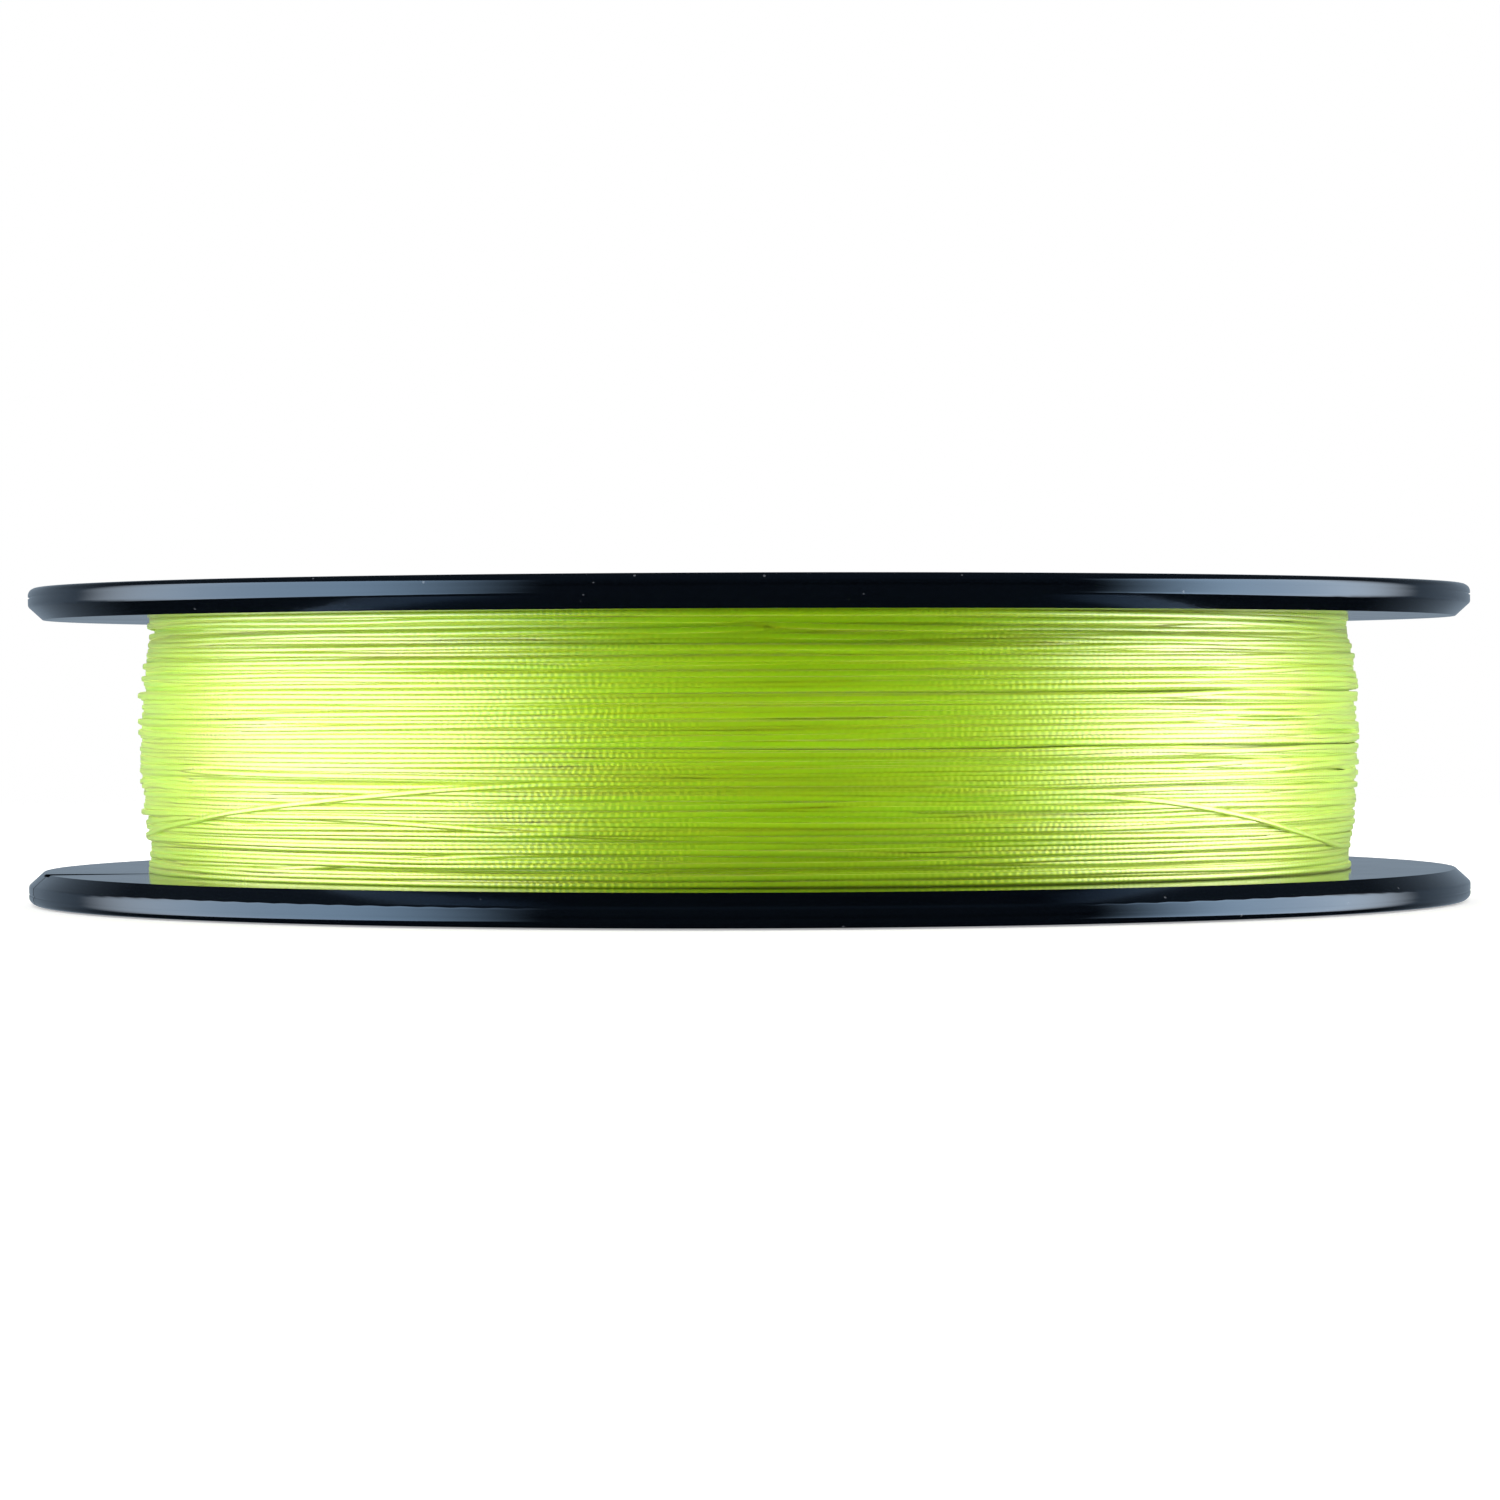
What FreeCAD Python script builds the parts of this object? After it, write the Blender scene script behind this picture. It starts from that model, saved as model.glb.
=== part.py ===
import FreeCAD, Part
import math
import os
import re

import Sketcher

# A flat spool of braided fishing line: two moulded halves that plug together at a hub,
# a disc label on each outer face, a tape on the drum, the wound line and its end tape.
# Frame: +Z is the spool's axis, and the origin is the centre of the lower outer face.

# Driving sizes in millimetres, angles in degrees.
sizes = {
    "flange_diameter": 110,
    "flange_thickness": 2.4,
    "winding_width": 19.1,
    "rim_bevel_width": 1.1,
    "rim_bevel_height": 1.0,
    "rim_bevel_round": 0.3,
    "rim_outer_round": 0.6,
    "rim_line_height": 0.76,
    "rim_line_width": 0.16,
    "rim_line_depth": 0.1,
    "bore_diameter": 10.2,
    "bore_chamfer": 0.5,
    "tube_wall": 2.0,
    "drum_diameter": 74,
    "drum_wall": 2.2,
    "lap_length": 2.0,
    "lap_clearance": 0.1,
    "rib_count": 6,
    "rib_thickness": 1.6,
    "rib_height": 4.5,
    "peg_count": 3,
    "peg_circle_diameter": 42,
    "boss_diameter": 7.5,
    "peg_diameter": 4,
    "peg_length": 4,
    "peg_clearance": 0.1,
    "label_diameter": 72,
    "label_hole_diameter": 24,
    "label_thickness": 0.15,
    "label_recess_depth": 0.3,
    "label_gap": 0.4,
    "line_catch_angle": 193.6,
    "line_catch_length": 9,
    "line_catch_slit": 0.3,
    "line_catch_mouth": 3.8,
    "line_catch_throat": 0.9,
    "line_catch_sink": 0.15,
    "winding_diameter": 92.9,
    "winding_crown": 0.5,
    "winding_shoulder": 0.5,
    "winding_side_gap": 0.05,
    "line_diameter": 0.38,
    "turn_count": 16,
    "turn_clearance": 0.04,
    "turn_end_gap": 0.05,
    "turn_bend": 0.46,
    "start_tape_width": 15,
    "start_tape_thickness": 0.12,
    "start_tape_angle": 357,
    "end_tape_side_gap": 0.25,
    "end_tape_thickness": 0.08,
    "end_tape_angle": 18,
    "tail_under_tape": 6,
    "tape_gap": 0.04,
}

doc = FreeCAD.newDocument("line_spool")
sheet = doc.addObject("Spreadsheet::Sheet", "Sizes")
for row, (alias, value) in enumerate(sizes.items(), start=1):
    sheet.set(f"A{row}", alias)
    sheet.set(f"B{row}", str(value))
    sheet.setAlias(f"B{row}", alias)
doc.recompute()

# Lengths that several pieces share, worked out from the sheet's names.
rim = "flange_diameter / 2"
height = "(2 * flange_thickness + winding_width)"
middle = "(flange_thickness + winding_width / 2)"
drum_outside = "drum_diameter / 2"
drum_inside = "(drum_diameter / 2 - drum_wall)"
lap_face = "(drum_diameter / 2 - drum_wall / 2)"
bore = "bore_diameter / 2"
tube_outside = "(bore_diameter / 2 + tube_wall)"
# The wound face is an arc about a centre beyond the axis, so it bulges at mid-width.
crown_radius = "((winding_width ^ 2 / 4 + winding_crown ^ 2) / (2 * winding_crown))"
core_outside = "(winding_diameter / 2 - line_diameter - turn_clearance)"
crown_centre = f"({core_outside} - {crown_radius})"


def bind(thing, target, text):
    # The sheet's names stand plainly in an expression and get the sheet's label here.
    thing.setExpression(target, re.sub(r"[a-z][a-z_]+", r"Sizes.\g<0>", text))


def new_body(label):
    body = doc.addObject("PartDesign::Body", label)
    body.Label = label
    return body


def new_sketch(body, name, role, lift="0"):
    # A sketch on one of the body's own origin planes, raised along that plane's normal.
    sketch = body.newObject("Sketcher::SketchObject", name)
    for plane in body.Origin.OriginFeatures:
        if plane.Role == role:
            sketch.AttachmentSupport = (plane, [""])
    sketch.MapMode = "FlatFace"
    if lift != "0":
        bind(sketch, "AttachmentOffset.Base.z", lift)
    return sketch


def place_point(sketch, edge, end, across, up):
    # Hold one point of an edge at its distances from the sketch's origin.
    point = sketch.getPoint(edge, end)
    for kind, text, axis, start in (("DistanceX", across, -2, point.x), ("DistanceY", up, -1, point.y)):
        if text == "0":
            sketch.addConstraint(Sketcher.Constraint("PointOnObject", edge, end, axis))
        elif text is not None:
            index = sketch.addConstraint(Sketcher.Constraint(kind, -1, 1, edge, end, start))
            bind(sketch, f"Constraints[{index}]", text)


def outline(sketch, corners):
    # A closed outline of straight edges. They start on a ring and are drawn to their corners.
    count = len(corners)
    centre = sheet.get("drum_diameter") / 2
    reach = centre / 2
    ring = []
    for index in range(count):
        angle = 2 * math.pi * index / count
        ring.append(FreeCAD.Vector(centre + reach * math.cos(angle), reach * math.sin(angle), 0))
    for index in range(count):
        sketch.addGeometry(Part.LineSegment(ring[index], ring[(index + 1) % count]))
    for index in range(count):
        after = (index + 1) % count
        sketch.addConstraint(Sketcher.Constraint("Coincident", index, 2, after, 1))
    for index, (across, up) in enumerate(corners):
        place_point(sketch, index, 1, across, up)


def turned(body, name, sketch, angle="360", both_ways=False):
    # A profile turned about its sketch's upright axis.
    feature = body.newObject("PartDesign::Revolution", name)
    feature.Profile = (sketch, [""])
    feature.ReferenceAxis = (sketch, ["V_Axis"])
    feature.Midplane = both_ways
    bind(feature, "Angle", angle)
    return feature


def padded(body, name, sketch, length):
    feature = body.newObject("PartDesign::Pad", name)
    feature.Profile = (sketch, [""])
    bind(feature, "Length", length)
    return feature


def pocketed(body, name, sketch, length=None):
    # Cut downwards from the sketch, through everything where no length is given.
    doc.recompute()
    before = body.Tip.Shape.Volume
    feature = body.newObject("PartDesign::Pocket", name)
    feature.Profile = (sketch, [""])
    # The faces beside a cut stay as they are, because merging them loses the rim's round.
    feature.Refine = False
    if length is None:
        feature.Type = "ThroughAll"
    else:
        bind(feature, "Length", length)
    doc.recompute()
    if feature.Shape.Volume >= before:
        raise RuntimeError(f"{name} cuts nothing")
    return feature


def repeated(body, name, feature, count):
    # Copies of a feature, evenly spaced about the upright axis.
    pattern = body.newObject("PartDesign::PolarPattern", name)
    pattern.Originals = [feature]
    pattern.Axis = (feature.Profile[0], ["N_Axis"])
    pattern.Angle = 360
    bind(pattern, "Occurrences", count)
    body.Tip = pattern
    return pattern


def ring_edges(shape, radius, level):
    # The names of the full round edges of this radius at this height.
    names = []
    for number, edge in enumerate(shape.Edges, start=1):
        if not isinstance(edge.Curve, Part.Circle):
            continue
        off_radius = abs(edge.Curve.Radius - radius)
        off_level = abs(edge.Curve.Center.z - level)
        if off_radius < 1e-4 and off_level < 1e-4:
            names.append(f"Edge{number}")
    return names


def rounded(body, name, feature, radius, level, amount):
    doc.recompute()
    fillet = body.newObject("PartDesign::Fillet", name)
    fillet.Base = (feature, ring_edges(feature.Shape, radius, level))
    bind(fillet, "Radius", amount)
    return fillet


def outer_face_corners():
    # From the bore out over the label's recess and the rim to the foot of the drum.
    recess_inside = "label_hole_diameter / 2 - label_gap"
    recess_outside = "label_diameter / 2 + label_gap"
    line_low = "rim_line_height - rim_line_width / 2"
    line_high = "rim_line_height + rim_line_width / 2"
    return [
        (bore, "bore_chamfer"),
        (f"{bore} + bore_chamfer", "0"),
        (recess_inside, "0"),
        (recess_inside, "label_recess_depth"),
        (recess_outside, "label_recess_depth"),
        (recess_outside, "0"),
        (rim, "0"),
        (rim, line_low),
        (f"{rim} - rim_line_depth", line_low),
        (f"{rim} - rim_line_depth", line_high),
        (rim, line_high),
        (rim, "flange_thickness - rim_bevel_height"),
        (f"{rim} - rim_bevel_width", "flange_thickness"),
        (drum_outside, "flange_thickness"),
    ]


def hub_corners():
    # From the drum's inner wall down into the half and up round the centre tube.
    return [
        (drum_inside, "flange_thickness"),
        (tube_outside, "flange_thickness"),
        (tube_outside, middle),
        (bore, middle),
    ]


def half_shell(body, joint_corners):
    # Flange, half drum and half centre tube in one turned wall, with its rim rounded.
    section = new_sketch(body, "Section", "XZ_Plane")
    outline(section, outer_face_corners() + joint_corners + hub_corners())
    shell = turned(body, "Shell", section)
    outside = sheet.get("flange_diameter") / 2
    bevel_foot = sheet.get("flange_thickness") - sheet.get("rim_bevel_height")
    outer_round = rounded(body, "OuterRound", shell, outside, 0, "rim_outer_round")
    rounded(body, "BevelRound", outer_round, outside, bevel_foot, "rim_bevel_round")


def half_ribs(body):
    # Upright ribs on the flange's inside, from the centre tube's wall to the drum's.
    section = new_sketch(body, "RibSection", "XY_Plane", "flange_thickness")
    inner = f"{tube_outside} - tube_wall / 2"
    outer = f"{drum_inside} + drum_wall / 4"
    side = "rib_thickness / 2"
    outline(section, [(inner, f"-{side}"), (outer, f"-{side}"), (outer, side), (inner, side)])
    rib = padded(body, "Rib", section, "rib_height")
    repeated(body, "Ribs", rib, "rib_count")


def round_section(body, name, lift, diameter):
    # A circle whose centre is on the circle of pegs, at a level of the half.
    section = new_sketch(body, f"{name}Section", "XY_Plane", lift)
    across = sheet.get("peg_circle_diameter") / 2
    start = sheet.get("peg_diameter")
    circle = Part.Circle(FreeCAD.Vector(across, 0, 0), FreeCAD.Vector(0, 0, 1), start / 2)
    number = section.addGeometry(circle)
    place_point(section, number, 3, "peg_circle_diameter / 2", "0")
    index = section.addConstraint(Sketcher.Constraint("Diameter", number, start))
    bind(section, f"Constraints[{index}]", diameter)
    return section


def round_post(body, name, lift, diameter, length):
    section = round_section(body, name, lift, diameter)
    return padded(body, name, section, length)


def half_bosses(body):
    boss = round_post(body, "Boss", "flange_thickness", "boss_diameter", "winding_width / 2")
    repeated(body, "Bosses", boss, "peg_count")


def lower_spool_half():
    body = new_body("lower_spool_half")
    tongue = f"{lap_face} - lap_clearance"
    tongue_top = f"{middle} + lap_length"
    joint = [
        (drum_outside, middle),
        (tongue, middle),
        (tongue, tongue_top),
        (drum_inside, tongue_top),
    ]
    half_shell(body, joint)
    half_ribs(body)
    half_bosses(body)
    # The pegs stand on the bosses and plug into the other half.
    peg = round_post(body, "Peg", middle, "peg_diameter", "peg_length")
    repeated(body, "Pegs", peg, "peg_count")
    line_catch(body)
    return body


def line_catch(body):
    # A radial slit in the rim that holds the line's end, with a shallow tapered lead-in.
    inner = f"{rim} - line_catch_length"
    outer = f"{rim} + rim_bevel_width"
    cuts = [
        ("CatchLeadIn", "line_catch_throat / 2", "line_catch_mouth / 2", "line_catch_sink"),
        ("CatchSlit", "line_catch_slit / 2", "line_catch_slit / 2", None),
    ]
    for name, inner_side, outer_side, depth in cuts:
        section = new_sketch(body, f"{name}Section", "XY_Plane", "flange_thickness")
        turn = FreeCAD.Rotation(FreeCAD.Vector(0, 0, 1), sheet.get("line_catch_angle"))
        section.AttachmentOffset = FreeCAD.Placement(section.AttachmentOffset.Base, turn)
        bind(section, "AttachmentOffset.Rotation.Angle", "line_catch_angle")
        corners = [
            (inner, f"-{inner_side}"),
            (outer, f"-{outer_side}"),
            (outer, outer_side),
            (inner, inner_side),
        ]
        outline(section, corners)
        pocketed(body, name, section, depth)


def upper_spool_half():
    # Built like the lower half and turned over, so its sockets meet the pegs.
    body = new_body("upper_spool_half")
    rebate = f"{middle} - lap_length - lap_clearance"
    joint = [
        (drum_outside, middle),
        (lap_face, middle),
        (lap_face, rebate),
        (drum_inside, rebate),
    ]
    half_shell(body, joint)
    half_ribs(body)
    half_bosses(body)
    section = round_section(body, "Socket", middle, "peg_diameter + 2 * peg_clearance")
    socket = pocketed(body, "Socket", section, "peg_length + peg_clearance")
    repeated(body, "Sockets", socket, "peg_count")
    body.Placement = FreeCAD.Placement(FreeCAD.Vector(0, 0, 1), FreeCAD.Rotation(FreeCAD.Vector(1, 0, 0), 180))
    bind(body, "Placement.Base.z", height)
    return body


def face_label(label, level):
    # A thin disc with a hole, stuck on the floor of an outer face's recess.
    body = new_body(label)
    section = new_sketch(body, "Disc", "XY_Plane")
    for diameter in ("label_diameter", "label_hole_diameter"):
        start = sheet.get(diameter) / 2
        circle = section.addGeometry(Part.Circle(FreeCAD.Vector(), FreeCAD.Vector(0, 0, 1), start))
        section.addConstraint(Sketcher.Constraint("Coincident", circle, 3, -1, 1))
        index = section.addConstraint(Sketcher.Constraint("Diameter", circle, 2 * start))
        bind(section, f"Constraints[{index}]", diameter)
    padded(body, "Film", section, "label_thickness")
    bind(body, "Placement.Base.z", level)
    return body


def crown_numbers():
    # The wound face's arc as numbers: its centre's place across, its height and its radius.
    width = sheet.get("winding_width")
    crown = sheet.get("winding_crown")
    radius = (width ** 2 / 4 + crown ** 2) / (2 * crown)
    line_room = sheet.get("line_diameter") + sheet.get("turn_clearance")
    across = sheet.get("winding_diameter") / 2 - line_room - radius
    up = sheet.get("flange_thickness") + width / 2
    return across, up, radius


def crown_arc(sketch, offset, half_width):
    # A stretch of the crowned face, or of a face parallel to it, centred on mid-width.
    across, up, radius = crown_numbers()
    centre = FreeCAD.Vector(across, up, 0)
    circle = Part.Circle(centre, FreeCAD.Vector(0, 0, 1), radius)
    half_angle = math.asin(sheet.get("winding_width") / 2 / radius)
    arc = sketch.addGeometry(Part.ArcOfCircle(circle, -half_angle, half_angle))
    place_point(sketch, arc, 3, crown_centre, middle)
    index = sketch.addConstraint(Sketcher.Constraint("Radius", arc, radius))
    bind(sketch, f"Constraints[{index}]", f"{crown_radius} + {offset}")
    place_point(sketch, arc, 1, None, f"{middle} - {half_width}")
    place_point(sketch, arc, 2, None, f"{middle} + {half_width}")
    return arc


def joined_line(sketch, edge, end, other, other_end):
    # A straight edge between the ends of two edges, which take their places first.
    doc.recompute()
    first = sketch.getPoint(edge, end)
    second = sketch.getPoint(other, other_end)
    line = sketch.addGeometry(Part.LineSegment(first, second))
    sketch.addConstraint(Sketcher.Constraint("Coincident", line, 1, edge, end))
    sketch.addConstraint(Sketcher.Constraint("Coincident", line, 2, other, other_end))
    return line


def line_winding_core():
    # The line's inner layers as one ring round the tape on the drum, crowned outside.
    body = new_body("line_winding_core")
    section = new_sketch(body, "Section", "XZ_Plane")
    half_width = "(winding_width / 2 - winding_side_gap)"
    inside = f"{drum_outside} + start_tape_thickness + 2 * tape_gap"
    face = crown_arc(section, "0", half_width)
    across = sheet.get("drum_diameter") / 2
    low = FreeCAD.Vector(across, sheet.get("flange_thickness"), 0)
    high = FreeCAD.Vector(across, sheet.get("winding_width"), 0)
    wall = section.addGeometry(Part.LineSegment(low, high))
    place_point(section, wall, 1, inside, f"{middle} - {half_width}")
    place_point(section, wall, 2, inside, f"{middle} + {half_width}")
    joined_line(section, wall, 1, face, 1)
    joined_line(section, wall, 2, face, 2)
    ring = turned(body, "Ring", section)
    doc.recompute()
    across, up, radius = crown_numbers()
    half = sheet.get("winding_width") / 2 - sheet.get("winding_side_gap")
    edge_radius = across + math.sqrt(radius ** 2 - half ** 2)
    shoulder = body.newObject("PartDesign::Fillet", "Shoulders")
    ends = ring_edges(ring.Shape, edge_radius, up - half) + ring_edges(ring.Shape, edge_radius, up + half)
    shoulder.Base = (ring, ends)
    bind(shoulder, "Radius", "winding_shoulder")
    return body


def line_start_tape():
    # One turn of tape round the drum, butted with a small gap, that grips the first turns.
    body = new_body("line_start_tape")
    section = new_sketch(body, "Section", "XZ_Plane")
    inner = f"{drum_outside} + tape_gap"
    outer = f"{drum_outside} + tape_gap + start_tape_thickness"
    low = f"{middle} - start_tape_width / 2"
    high = f"{middle} + start_tape_width / 2"
    outline(section, [(inner, low), (outer, low), (outer, high), (inner, high)])
    turned(body, "Band", section, "start_tape_angle", both_ways=True)
    return body


def line_end_tape():
    # A short piece of tape over the outer turns at the back, on the line's end.
    body = new_body("line_end_tape")
    section = new_sketch(body, "Section", "YZ_Plane")
    # It spans the winding, short of each flange by its side gap.
    half_width = "(winding_width / 2 - end_tape_side_gap)"
    inner = "(turn_clearance + line_diameter + tape_gap)"
    inner_arc = crown_arc(section, inner, half_width)
    outer_arc = crown_arc(section, f"{inner} + end_tape_thickness", half_width)
    joined_line(section, inner_arc, 1, outer_arc, 1)
    joined_line(section, inner_arc, 2, outer_arc, 2)
    turned(body, "Patch", section, "end_tape_angle", both_ways=True)
    return body


def arc_between(start, heading, end):
    # The arc that leaves start along heading and reaches end.
    chord = end - start
    normal = heading.cross(chord)
    if normal.Length < 1e-9 * chord.Length:
        return Part.LineSegment(start, end).toShape()
    normal.normalize()
    inward = normal.cross(heading)
    inward.normalize()
    radius = chord.dot(chord) / (2 * chord.dot(inward))
    centre = start + inward * radius
    outward = (start + end) * 0.5 - centre
    outward.normalize()
    return Part.Arc(start, centre + outward * abs(radius), end).toShape()


def biarc_between(start, heading, end, end_heading):
    # Two arcs that share a tangent where they join, so the line has no kink.
    chord = end - start
    both = heading + end_heading
    bend = 2 * (1 - heading.dot(end_heading))
    along = chord.dot(both)
    if abs(bend) < 1e-12:
        reach = chord.dot(chord) / (4 * chord.dot(end_heading))
    else:
        reach = (math.sqrt(along ** 2 + bend * chord.dot(chord)) - along) / bend
    joint = (start + end + (heading - end_heading) * reach) * 0.5
    return [arc_between(start, heading, joint), arc_between(end, end_heading * -1, joint)]


class OuterTurns:
    # The route of the outer layer: a helix that follows the crown from flange to flange.
    def __init__(self):
        across, up, radius = crown_numbers()
        line = sheet.get("line_diameter")
        self.across = across
        self.up = up
        self.radius = radius + line / 2 + sheet.get("turn_clearance")
        self.line = line
        # The first turn starts above an upright run of one diameter and a small bend.
        self.bend = sheet.get("turn_bend")
        self.floor = sheet.get("flange_thickness") + sheet.get("turn_end_gap")
        self.low = self.floor + line + self.bend
        last_room = sheet.get("winding_shoulder") + sheet.get("turn_end_gap")
        self.high = sheet.get("flange_thickness") + sheet.get("winding_width") - last_room
        self.turns = sheet.get("turn_count")
        self.pitch = (self.high - self.low) / self.turns
        # The last turn ends under the end tape, at the back.
        near_edge = 90 - sheet.get("end_tape_angle") / 2
        self.end_angle = math.radians(near_edge + sheet.get("tail_under_tape"))

    def point(self, turned_by):
        # A place on the route, by the angle wound since its start.
        level = self.low + self.pitch * turned_by / (2 * math.pi)
        reach = self.across + math.sqrt(self.radius ** 2 - (level - self.up) ** 2)
        angle = self.end_angle - 2 * math.pi * self.turns + turned_by
        return FreeCAD.Vector(reach * math.cos(angle), reach * math.sin(angle), level)

    def heading(self, turned_by):
        level = self.low + self.pitch * turned_by / (2 * math.pi)
        rise = self.pitch / (2 * math.pi)
        depth = math.sqrt(self.radius ** 2 - (level - self.up) ** 2)
        reach = self.across + depth
        widening = -(level - self.up) / depth * rise
        angle = self.end_angle - 2 * math.pi * self.turns + turned_by
        across = widening * math.cos(angle) - reach * math.sin(angle)
        along = widening * math.sin(angle) + reach * math.cos(angle)
        direction = FreeCAD.Vector(across, along, rise)
        direction.normalize()
        return direction

    def edges(self):
        # Upright run from the flange, bend, half turns of two arcs each, straight end.
        first = self.point(0)
        heading = self.heading(0)
        level_heading = FreeCAD.Vector(heading.x, heading.y, 0)
        level_heading.normalize()
        upward = FreeCAD.Vector(0, 0, 1)
        normal = upward - heading * upward.dot(heading)
        normal.normalize()
        run_top = first - normal * self.bend - level_heading * self.bend
        run_foot = FreeCAD.Vector(run_top.x, run_top.y, self.floor)
        route = [Part.LineSegment(run_foot, run_top).toShape(), arc_between(run_top, upward, first)]
        last = 2 * math.pi * self.turns
        halves = round(2 * self.turns)
        for index in range(halves):
            before = last * index / halves
            after = last * (index + 1) / halves
            ends = (self.point(before), self.heading(before), self.point(after), self.heading(after))
            route += biarc_between(*ends)
        tail = self.point(last) + self.heading(last) * self.line
        route.append(Part.LineSegment(self.point(last), tail).toShape())
        return run_foot, route

    def least_gap(self):
        # The least distance between points half a turn to a turn and a half apart, less the line.
        steps = 72
        count = round(self.turns * steps)
        points = [self.point(2 * math.pi * index / steps) for index in range(count + 1)]
        nearest = math.inf
        for index, point in enumerate(points):
            for other in points[index + steps // 2:index + steps * 3 // 2]:
                nearest = min(nearest, point.distanceToPoint(other))
        return nearest - self.line


def line_outer_turns():
    # One unbroken tube along the route.
    turns = OuterTurns()
    foot, edges = turns.edges()
    route = Part.Wire(edges)
    ring = Part.makeCircle(turns.line / 2, foot, FreeCAD.Vector(0, 0, 1))
    tube = route.makePipeShell([Part.Wire(ring)], True, False)
    feature = doc.addObject("Part::Feature", "line_outer_turns")
    feature.Label = "line_outer_turns"
    feature.Shape = tube
    feature.Placement = FreeCAD.Placement()
    expected = math.pi * turns.line ** 2 / 4 * route.Length
    print(f"outer turns: {turns.turns:g} loops, {route.Length / 1000:.2f} m of line")
    print(f"outer turns: volume {tube.Volume:.1f} mm3, section times length {expected:.1f} mm3")
    print(f"outer turns: least gap between turns {turns.least_gap():.3f} mm")
    return feature


parts = [
    lower_spool_half(),
    upper_spool_half(),
    face_label("lower_label", "label_recess_depth - label_thickness"),
    face_label("upper_label", f"{height} - label_recess_depth"),
    line_start_tape(),
    line_winding_core(),
    line_outer_turns(),
    line_end_tape(),
]
doc.recompute()

for thing in doc.Objects:
    if "Invalid" in thing.State or "Error" in thing.State:
        raise RuntimeError(f"{thing.Label} did not compute: {thing.State}")
for part in parts:
    if part.Shape.isNull() or not part.Shape.isValid():
        raise RuntimeError(f"{part.Label} has no valid shape")

os.makedirs("parts", exist_ok=True)
for part in parts:
    part.Shape.exportStep(f"parts/{part.Label}.step")
    solids = len(part.Shape.Solids)
    print(f"{part.Label}: {solids} solid, {part.Shape.Volume:.1f} mm3")
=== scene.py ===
import math

import bpy
import numpy as np
from mathutils import Matrix, Vector


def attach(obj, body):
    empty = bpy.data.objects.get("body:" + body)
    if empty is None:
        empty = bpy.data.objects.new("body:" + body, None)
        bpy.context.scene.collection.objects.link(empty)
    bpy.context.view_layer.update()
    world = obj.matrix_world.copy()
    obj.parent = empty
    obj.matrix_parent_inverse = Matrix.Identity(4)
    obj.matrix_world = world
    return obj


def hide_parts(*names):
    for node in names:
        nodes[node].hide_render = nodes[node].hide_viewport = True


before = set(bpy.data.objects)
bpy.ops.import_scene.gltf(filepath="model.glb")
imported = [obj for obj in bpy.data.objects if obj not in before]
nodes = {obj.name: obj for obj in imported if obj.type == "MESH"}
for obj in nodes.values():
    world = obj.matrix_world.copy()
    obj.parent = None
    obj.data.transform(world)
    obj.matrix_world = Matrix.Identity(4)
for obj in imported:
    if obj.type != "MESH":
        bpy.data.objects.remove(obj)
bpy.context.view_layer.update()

mm = 0.001  # the scene is in metres and most sizes below are in millimetres
lineMap = "LineUV"  # the UV map of what is turned or wound: mm along it and mm across it

# The spool stands on its lower face, with its axis upright.
spool = {
    "height": 23.9,
    "flangeThickness": 2.4,
    "drumRadius": 37.0,
}


# Helpers for meshes and materials

def linearColour(hexText):
    # An sRGB hex colour as the linear colour that shaders expect: straight near black, and a
    # power curve above.
    parts = [int(hexText[k:k + 2], 16) / 255 for k in (1, 3, 5)]
    linear = [p / 12.92 if p <= 0.04045 else ((p + 0.055) / 1.055) ** 2.4 for p in parts]
    return (*linear, 1.0)


def addNode(tree, kind, inputs=None, **settings):
    # Adds a node. An input's value is a number, a colour, or another node's output.
    node = tree.nodes.new(kind)
    for name, value in settings.items():
        setattr(node, name, value)
    for name, value in (inputs or {}).items():
        if isinstance(value, bpy.types.NodeSocket):
            tree.links.new(value, node.inputs[name])
        else:
            node.inputs[name].default_value = value
    return node


def startMaterial(name, inputs=None):
    # A material with only a Principled shader, which has these inputs, on its output.
    material = bpy.data.materials.new(name)
    material.use_nodes = True
    tree = material.node_tree
    tree.nodes.clear()
    shader = addNode(tree, "ShaderNodeBsdfPrincipled", inputs)
    addNode(tree, "ShaderNodeOutputMaterial", {"Surface": shader.outputs["BSDF"]})
    return material, tree, shader


def aroundAxis(radii, angles, heights):
    # Points round the upright axis: (radius * cosine, radius * sine, height).
    across = radii * np.cos(angles)
    deep = radii * np.sin(angles)
    return np.stack(np.broadcast_arrays(across, deep, heights), -1)


def squareCorners(table, flipped=False):
    # The values at the corners of each square of a table: a place, the one in the next row,
    # the one across and the one in the next column. Flipped, they go round the other way.
    corners = [table[:-1, :-1], table[1:, :-1], table[1:, 1:], table[:-1, 1:]]
    if flipped:
        corners = [corners[0], *corners[:0:-1]]
    return np.stack(corners, 2)


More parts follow.
